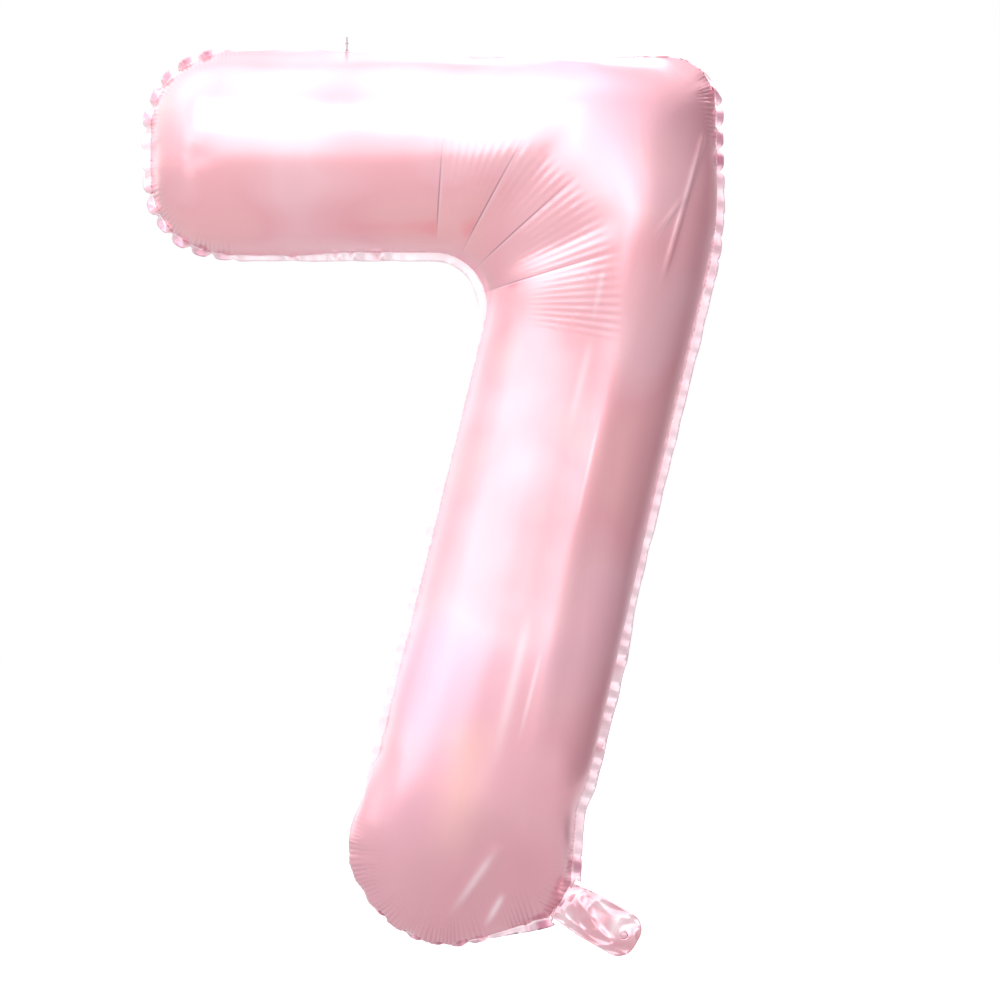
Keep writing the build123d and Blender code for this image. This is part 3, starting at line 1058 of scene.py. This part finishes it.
class Shader:
    """The nodes of a material or of the world, with short ways to add and join them."""

    def __init__(self, owner):
        owner.use_nodes = True
        self.owner = owner
        self.nodes = owner.node_tree.nodes
        self.links = owner.node_tree.links

    def add(self, kind, settings=None, **inputs):
        """A node with its settings, and inputs that are values or other nodes' outputs."""
        node = self.nodes.new(kind)
        for key, value in (settings or {}).items():
            setattr(node, key, value)
        self.put(node, **inputs)
        return node

    def put(self, node, **inputs):
        """Sets or joins a node's inputs, named with _ for a space, or numbered as in 'in0'."""
        for key, value in inputs.items():
            numbered = key[:2] == "in" and key[2:].isdigit()
            target = node.inputs[int(key[2:]) if numbered else key.replace("_", " ")]
            if isinstance(value, bpy.types.NodeSocket):
                self.links.new(value, target)
            else:
                target.default_value = value

    def surfaced(self, **inputs):
        """The material, with these inputs of its surface set or joined."""
        self.put(self.nodes["Principled BSDF"], **inputs)
        return self.owner

    def maths(self, operation, *values):
        """The result of a Math node."""
        inputs = {f"in{index}": value for index, value in enumerate(values)}
        return self.add("ShaderNodeMath", {"operation": operation}, **inputs).outputs[0]

    def times(self, first, second):
        """The product of two values."""
        return self.maths("MULTIPLY", first, second)

    def scaled(self, value, factor, offset):
        """A value times a factor, plus an offset."""
        return self.maths("MULTIPLY_ADD", value, factor, offset)

    def vector(self, operation, first, second):
        """A Vector Math node."""
        return self.add("ShaderNodeVectorMath", {"operation": operation}, in0=first, in1=second)

    def position(self, turn=(0, 0, 0), stretch=(1, 1, 1)):
        """The place on the piece, in metres, turned by degrees and stretched."""
        where = self.add("ShaderNodeTexCoord").outputs["Object"]
        angles = [radians(angle) for angle in turn]
        return self.add("ShaderNodeMapping", Vector=where, Rotation=angles, Scale=stretch).outputs[0]

    def coordinate(self, axis):
        """One coordinate of the place on the piece."""
        return self.add("ShaderNodeSeparateXYZ", Vector=self.position()).outputs[axis]

    def attribute(self, name):
        """A value kept at the mesh's points."""
        return self.add("ShaderNodeAttribute", {"attribute_name": name}).outputs["Fac"]

    def noise(self, scale, detail=3.0, stretch=(1, 1, 1), turn=0.0):
        """Noise in the piece's own metres, stretched and turned in the plane of the digit."""
        where = self.position((0, turn, 0), stretch)
        return self.add("ShaderNodeTexNoise", Vector=where, Scale=scale, Detail=detail).outputs["Fac"]

    def ramp(self, value, stops):
        """Colours along a value."""
        node = self.add("ShaderNodeValToRGB", Fac=value)
        elements = node.color_ramp.elements
        while len(elements) < len(stops):
            elements.new(0.5)
        for element, (position, colour) in zip(elements, stops):
            element.position = position
            element.color = (*colour, 1)
        return node.outputs["Color"]

    def tint(self, base, amount, strength, colour):
        """A colour mixed into another, by an amount times a strength."""
        factor = self.times(amount, strength)
        node = self.add("ShaderNodeMix", {"data_type": "RGBA"}, in0=factor, in6=base, in7=(*colour, 1))
        return node.outputs[2]

    def step(self, value, start, end, kind="SMOOTHSTEP"):
        """A soft step of a value, from 0 at start to 1 at end."""
        node = self.add("ShaderNodeMapRange", {"interpolation_type": kind}, Value=value)
        self.put(node, From_Min=start, From_Max=end)
        return node.outputs["Result"]

    def stroke(self, start, end, width):
        """How close a place is to a line on the digit, from 0 to 1, fading at both ends."""
        first, last = (Vector(place(*point, 0)) for point in (start, end))
        run = (last - first).normalized()
        offset = self.vector("SUBTRACT", self.position(), first).outputs[0]
        along_line, beside_line = (
            self.vector("DOT_PRODUCT", offset, direction).outputs["Value"]
            for direction in (run, Vector((run.z, 0, -run.x)))
        )
        away = self.maths("DIVIDE", beside_line, width * MM)
        close = self.maths("EXPONENT", self.times(self.times(away, away), -1.0))
        share = self.maths("DIVIDE", along_line, (last - first).length)
        return self.times(close, self.times(self.step(share, 0, 0.3), self.step(share, 1, 0.45)))

    def bump(self, height, strength, distance, **normal):
        """A Bump node's normal, on top of another one if it is given as Normal."""
        node = self.add("ShaderNodeBump", Height=height, Strength=strength, Distance=distance, **normal)
        return node.outputs["Normal"]


def new_shader(name):
    """The nodes of a new material."""
    return Shader(bpy.data.materials.new(name))


PINK = (0.90, 0.45, 0.50)
PALE_PINK = (0.94, 0.57, 0.62)
LAVENDER = (0.88, 0.51, 0.64)
PEACH = (0.96, 0.58, 0.54)
EDGE_SHADE_MAUVE = (0.62, 0.33, 0.43)
SHADE_DUSKY_PINK = (0.74, 0.38, 0.44)
FOLD_SHADE = (0.42, 0.17, 0.24)
CURL_SHADE = (0.62, 0.27, 0.37)
GLEAM = (1.0, 0.86, 0.91)
FOIL_COLOURS = ((0.32, LAVENDER), (0.46, PALE_PINK), (0.56, PINK), (0.72, PEACH))
WELD_COLOURS = ((0.35, (0.98, 0.90, 0.93)), (0.5, (0.96, 0.82, 0.86)), (0.66, (0.99, 0.94, 0.96)))
TAIL_COLOURS = ((0.36, (0.76, 0.41, 0.46)), (0.5, (0.82, 0.51, 0.57)), (0.68, (0.93, 0.76, 0.79)))
VALVE_COLOURS = ((0.4, (0.84, 0.84, 0.86)), (0.65, (0.95, 0.94, 0.94)))
COAT_COLOURS = ((0.4, (0.42, 0.44, 0.48)), (0.6, (0.52, 0.54, 0.58)))
THREAD_COLOURS = ((0.2, (0.34, 0.30, 0.30)), (0.8, (0.62, 0.56, 0.56)))
# How far noise spreads each film's roughness, and its least. Noise keeps near the middle of its range,
# so that each film stays on one side of 0.274, where the renderer's denoiser would draw lines.
FOIL_ROUGHNESS = (0.08, 0.262)
WELD_ROUGHNESS = (0.1, 0.26)
TAIL_ROUGHNESS = (0.16, 0.1)
VALVE_ROUGHNESS = (0.2, 0.2)
# Angle from the crease, width, strength and colour of the two lines drawn along each elbow crease: a painted
# highlight beside it and painted shade in it.
CREASE_LINES = ((-0.6, 1.2, 0.35, GLEAM), (0, 0.7, 0.8, FOLD_SHADE))
# Start, end, width, strength and colour of each soft patch and thin gleam on the skins. The dusky pink
# patches are painted shade, the peach one a tint of the film, and the gleams painted highlights along ridges
# and folds.
TINTS = (
    ((380, -24), (680, -44), 42, 0.85, SHADE_DUSKY_PINK),
    ((316, -610), (280, -790), 20, 0.75, PEACH),
    ((372, -560), (330, -760), 14, 0.45, SHADE_DUSKY_PINK),
    ((334, -754), (282, -828), 3.6, 0.55, GLEAM),
    ((340, -798), (318, -838), 3.0, 0.7, GLEAM),
    ((528, -80), (486, -216), 1.1, 0.45, GLEAM),
    ((506, -141), (478, -187), 0.9, 0.35, GLEAM),
    ((434, -200), (421, -266), 2.6, 0.35, GLEAM),
    ((424, -262), (396, -376), 4.0, 0.35, GLEAM),
    ((431, -340), (403, -462), 1.5, 0.45, GLEAM),
    ((366, -520), (326, -688), 5.0, 0.5, GLEAM),
    ((376, -560), (350, -664), 2.0, 0.45, GLEAM),
)
# The skins are darkened with painted shade from this height down to the other one, in metres.
LOW_SHADE_HEIGHTS = (0.46, 0.02)


def foil_shader():
    """Pearly pink metallised film, with colour drift, brushed streaks and fine crinkles in its relief, pale
    streaks of painted sheen, and painted shade and highlights at its outline, low part, pleats, creases and
    folds.
    """
    shader = new_shader("pink_foil")
    base = shader.ramp(shader.noise(5.0, 2.0), FOIL_COLOURS)
    # Pale lengthwise streaks along the stem: painted sheen that stands in for streaky reflections.
    streaks = shader.noise(26.0, 3.0, (1, 1, 0.06), -STEM_LEAN)
    base = shader.tint(base, streaks, 0.35, PALE_PINK)
    # Painted shade: the film is darkened towards mauve where it turns away towards its outline.
    facing = shader.add("ShaderNodeLayerWeight", Blend=0.35).outputs["Facing"]
    base = shader.tint(base, shader.maths("POWER", facing, 1.6), 0.4, EDGE_SHADE_MAUVE)
    # Painted shade: the skins grow darker towards the bottom.
    base = shader.tint(base, shader.step(shader.coordinate("Z"), *LOW_SHADE_HEIGHTS), 0.75, SHADE_DUSKY_PINK)
    # Painted shade in the valleys of the finest pleats beside the seam.
    base = shader.tint(base, shader.attribute("valley"), 0.6, FOLD_SHADE)
    # Painted highlight and painted shade along the elbow's creases.
    for angle, (start, end) in zip(ELBOW_FOLD_ANGLES, ELBOW_FOLD_REACH):
        for turn, width, strength, colour in CREASE_LINES:
            line = shader.stroke(fold_point(angle + turn, start), fold_point(angle + turn, end), width)
            base = shader.tint(base, line, strength, colour)
    # Painted shade, painted highlights and one peach tint, along lines on the digit.
    for start, end, width, strength, colour in TINTS:
        base = shader.tint(base, shader.stroke(start, end, width), strength, colour)
    normal = shader.bump(shader.noise(75.0, 2.0, (1, 1, 0.035), -STEM_LEAN), 0.16, 0.0012)
    wrinkles = shader.noise(60.0, 5.0, (1, 1, 0.45), -STEM_LEAN)
    normal = shader.bump(wrinkles, 0.12, 0.0012, Normal=normal)
    normal = shader.bump(shader.noise(900.0, 2.0), 0.05, 0.0002, Normal=normal)
    rough = shader.scaled(shader.noise(9.0, 4.0), *FOIL_ROUGHNESS)
    surface = {"Base_Color": base, "Roughness": rough, "Normal": normal}
    return shader.surfaced(Metallic=0.82, Coat_Weight=0.35, Coat_Roughness=0.12, **surface)


def weld_shader():
    """The seal: the same film, pressed flat with the fine ribs of the sealing bar."""
    shader = new_shader("foil_weld")
    drift = shader.noise(18.0, 2.0)
    # Painted shade where the seal's lobes curl away.
    base = shader.tint(shader.ramp(drift, WELD_COLOURS), shader.attribute("curl_shade"), 0.85, CURL_SHADE)
    normal = shader.bump(shader.noise(90.0, 2.0), 0.12, 0.001)
    normal = shader.bump(shader.noise(420.0, 3.0), 0.15, 0.0003, Normal=normal)
    surface = {"Base_Color": base, "Roughness": shader.scaled(drift, *WELD_ROUGHNESS), "Normal": normal}
    return shader.surfaced(Metallic=0.5, Coat_Weight=0.3, **surface)


def tail_shader():
    """Unfilled film of the tail, pale, bright and finely crinkled."""
    shader = new_shader("tail_foil")
    drift = shader.noise(36.0, 2.0)
    normal = shader.bump(shader.noise(70.0, 2.0), 0.12, 0.0008)
    rough = shader.scaled(drift, *TAIL_ROUGHNESS)
    surface = {"Base_Color": shader.ramp(drift, TAIL_COLOURS), "Roughness": rough, "Normal": normal}
    return shader.surfaced(Metallic=0.75, Coat_Weight=0.4, **surface)


def valve_shader():
    """Clear soft film of the valve, faintly milky."""
    shader = new_shader("valve_film")
    cloud = shader.noise(140.0, 3.0)
    surface = {"Roughness": shader.scaled(cloud, *VALVE_ROUGHNESS), "Normal": shader.bump(cloud, 0.3, 0.0005)}
    return shader.surfaced(Base_Color=shader.ramp(cloud, VALVE_COLOURS), Transmission_Weight=0.35, **surface)


def coat_shader():
    """Matt printed coating that keeps the valve from sealing shut."""
    shader = new_shader("release_coat")
    speckle = shader.noise(800.0, 2.0)
    normal = shader.bump(speckle, 0.2, 0.0002)
    return shader.surfaced(Base_Color=shader.ramp(speckle, COAT_COLOURS), Roughness=0.85, Normal=normal)


def thread_shader():
    """Grey twisted thread, with its plies as slanting ribs."""
    shader = new_shader("thread")
    where = shader.position((0, 35, 20))
    twist = shader.add("ShaderNodeTexWave", Vector=where, Scale=420.0, Distortion=1.5).outputs["Fac"]
    normal = shader.bump(twist, 0.8, 0.0003)
    return shader.surfaced(Base_Color=shader.ramp(twist, THREAD_COLOURS), Roughness=0.7, Normal=normal)


# ---------------------------------------------------------------- putting it together


def finish_piece(piece, material, node):
    """Gives a piece its material and hides the CAD node's own part, which the piece stands for."""
    piece.data.materials.clear()
    piece.data.materials.append(material)
    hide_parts(node)


def repaint(node, material):
    """Gives a CAD node's object a material, without touching its mesh."""
    for material_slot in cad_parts[node].material_slots:
        material_slot.link = "OBJECT"
        material_slot.material = material


def tail_point(run):
    """A point on the tail's axis, in the frame."""
    return tuple(place(*(neck_centre + tail_run * run), 0))


foil = foil_shader()
weld_film = weld_shader()
tail_film = tail_shader()
valve_film = valve_shader()

for piece, node in zip(build_skins(), ("front_foil_panel", "rear_foil_panel")):
    finish_piece(piece, foil, node)
    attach(piece, "balloon")

seam_seal = build_seal()
finish_piece(seam_seal, weld_film, "perimeter_seal")
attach(seam_seal, "balloon")

FOLD_HALF_LENGTH = 4.0
fold_start, fold_end = (tail_point(TAIL_HINGE + side * FOLD_HALF_LENGTH) for side in (-1, 1))
TAIL_PARTS = (
    ("tail_front_film", tail_film, "pink_foil"),
    ("tail_rear_film", tail_film, "pink_foil"),
    ("tail_edge_welds", weld_film, "foil_weld"),
)
for piece, (node, material, slot) in zip(build_tail(), TAIL_PARTS):
    finish_piece(piece, material, node)
    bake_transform(piece)

MOUTH_NODES = ("valve_mouth_front", "valve_mouth_rear", "valve_mouth_welds", "valve_mouth_welds")
for piece, node in zip(build_mouth(), MOUTH_NODES):
    finish_piece(piece, valve_film, node)
    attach(piece, "filling_tail")

for node in ("valve_front_film", "valve_rear_film", "valve_side_welds"):
    repaint(node, valve_film)
repaint("valve_release_coat", coat_shader())
repaint("hang_thread", thread_shader())

# ---------------------------------------------------------------- floor, light and camera

FLOOR_DROP = 0.25
FLOOR_HALF = 20.0
FLOOR_GLOW = 0.74
FLOOR_COLOURS = ((0.3, (0.42,) * 3), (0.7, (0.45,) * 3))
FLAG_X = 1.3
FLAG_NEAR = -1.1
FLAG_FAR = 2.2
FLAG_TOP = 1.6
FLAG_BOTTOM = -0.24
FLAG_COLOURS = ((0.0, (0.66, 0.60, 0.63)), (0.55, (0.33, 0.26, 0.29)), (1.0, (0.58, 0.52, 0.55)))
ROOM_COLOUR = (1.0, 0.955, 0.975, 1)
ROOM_LIGHT = 0.74
# Azimuth and elevation of each side of the room, the cosines between which it fades in, and its light.
# Azimuth 0 is the camera's side.
ROOM_SIDES = (
    (-25, 46, 0.10, 0.80, 0.9),
    (-14, 12, 0.90, 0.99, 0.12),
    (122, 0, 0.50, 0.92, -0.36),
    (-130, 18, 0.50, 0.95, 0.35),
    (-70, 10, 0.20, 0.95, 0.12),
    (180, 50, 0.30, 0.80, 0.55),
)
LIGHT_AIM = Vector((0, 0, 0.45))
LIGHTS = (
    ("key", (-1.2, -2.6, 3.0), (2.6, 1.8), 34, (1, 1, 1)),
    ("left_strip", (-3.0, -1.6, 0.9), (1.6, 2.4), 3, (1, 1, 1)),
    ("right_strip", (1.5, -3.4, 0.5), (0.8, 2.4), 6, (0.98, 0.94, 1.0)),
    ("back", (1.2, 2.8, 2.6), (2.4, 1.6), 34, (1, 1, 1)),
)
CAMERA_DISTANCE = 6.0
FRAME_WIDTH = 0.960
SENSOR_WIDTH = 36.0
CAMERA_X = 0.064
CAMERA_Z = 0.438
CAMERA_CLIP = 100.0


def build_floor():
    """A plain pale floor below the floating balloon."""
    sides = ((-1, -1), (1, -1), (1, 1), (-1, 1))
    corners = [(x * FLOOR_HALF, y * FLOOR_HALF, -FLOOR_DROP) for x, y in sides]
    floor = mesh_object("floor", corners, [(0, 1, 2, 3)])
    shader = new_shader("floor")
    base = shader.ramp(shader.noise(3.0, 2.0), FLOOR_COLOURS)
    camera_ray = shader.add("ShaderNodeLightPath").outputs["Is Camera Ray"]
    glow = {"Emission_Color": (1, 1, 1, 1), "Emission_Strength": shader.times(camera_ray, FLOOR_GLOW)}
    floor.data.materials.append(shader.surfaced(Base_Color=base, Roughness=0.9, **glow))


def build_flag():
    """A card beside the digit, seen only in reflections, and darkest about its middle."""
    corners = [(FLAG_X, y, FLAG_BOTTOM) for y in (FLAG_NEAR, FLAG_FAR)]
    corners += [(FLAG_X, y, FLAG_TOP) for y in (FLAG_FAR, FLAG_NEAR)]
    flag = mesh_object("flag", corners, [(0, 1, 2, 3)])
    shader = new_shader("flag")
    shade = shader.ramp(shader.step(shader.coordinate("Y"), FLAG_NEAR, FLAG_FAR), FLAG_COLOURS)
    glow = {"Emission_Color": shade, "Emission_Strength": 1.0}
    flag.data.materials.append(shader.surfaced(Base_Color=(0, 0, 0, 1), Specular_IOR_Level=0, **glow))
    flag.visible_camera = False
    flag.visible_shadow = False
    flag.visible_diffuse = False


def build_world():
    """White surroundings for the camera, and a soft room with lighter and darker sides for reflections."""
    world = bpy.data.worlds.new("studio")
    bpy.context.scene.world = world
    shader = Shader(world)
    direction = shader.add("ShaderNodeTexCoord").outputs["Generated"]
    light = ROOM_LIGHT
    for azimuth, elevation, outer, inner, strength in ROOM_SIDES:
        turn, rise = radians(azimuth), radians(elevation)
        aim = (sin(turn) * cos(rise), -cos(turn) * cos(rise), sin(rise))
        facing = shader.vector("DOT_PRODUCT", direction, aim).outputs["Value"]
        side = shader.times(shader.step(facing, outer, inner, "SMOOTHERSTEP"), strength)
        light = shader.maths("ADD", light, side)
    room = shader.add("ShaderNodeBackground", Color=ROOM_COLOUR, Strength=light).outputs[0]
    seen = shader.nodes["Background"]
    shader.put(seen, Color=(1, 1, 1, 1))
    camera_ray = shader.add("ShaderNodeLightPath").outputs["Is Camera Ray"]
    choice = shader.add("ShaderNodeMixShader", Fac=camera_ray, in1=room, in2=seen.outputs[0])
    shader.put(shader.nodes["World Output"], Surface=choice.outputs[0])


def add_light(name, position, size, power, colour):
    """A soft rectangular light that faces the middle of the digit."""
    data = bpy.data.lights.new(name, "AREA")
    data.shape = "RECTANGLE"
    data.size, data.size_y = size
    data.energy = power
    data.color = colour
    lamp = bpy.data.objects.new(name, data)
    lamp.location = position
    lamp.rotation_euler = (LIGHT_AIM - Vector(position)).to_track_quat("-Z", "Y").to_euler()
    bpy.context.scene.collection.objects.link(lamp)


def add_camera():
    """The camera, straight in front of the digit as in the photograph."""
    data = bpy.data.cameras.new("camera")
    data.sensor_width = SENSOR_WIDTH
    data.lens = SENSOR_WIDTH * CAMERA_DISTANCE / FRAME_WIDTH
    data.clip_end = CAMERA_CLIP
    camera = bpy.data.objects.new("camera", data)
    camera.location = (CAMERA_X, -CAMERA_DISTANCE, CAMERA_Z)
    camera.rotation_euler = (pi / 2, 0, 0)
    bpy.context.scene.collection.objects.link(camera)
    bpy.context.scene.camera = camera


build_floor()
build_world()
build_flag()
for light in LIGHTS:
    add_light(*light)
add_camera()
bpy.context.scene.view_settings.view_transform = "Standard"
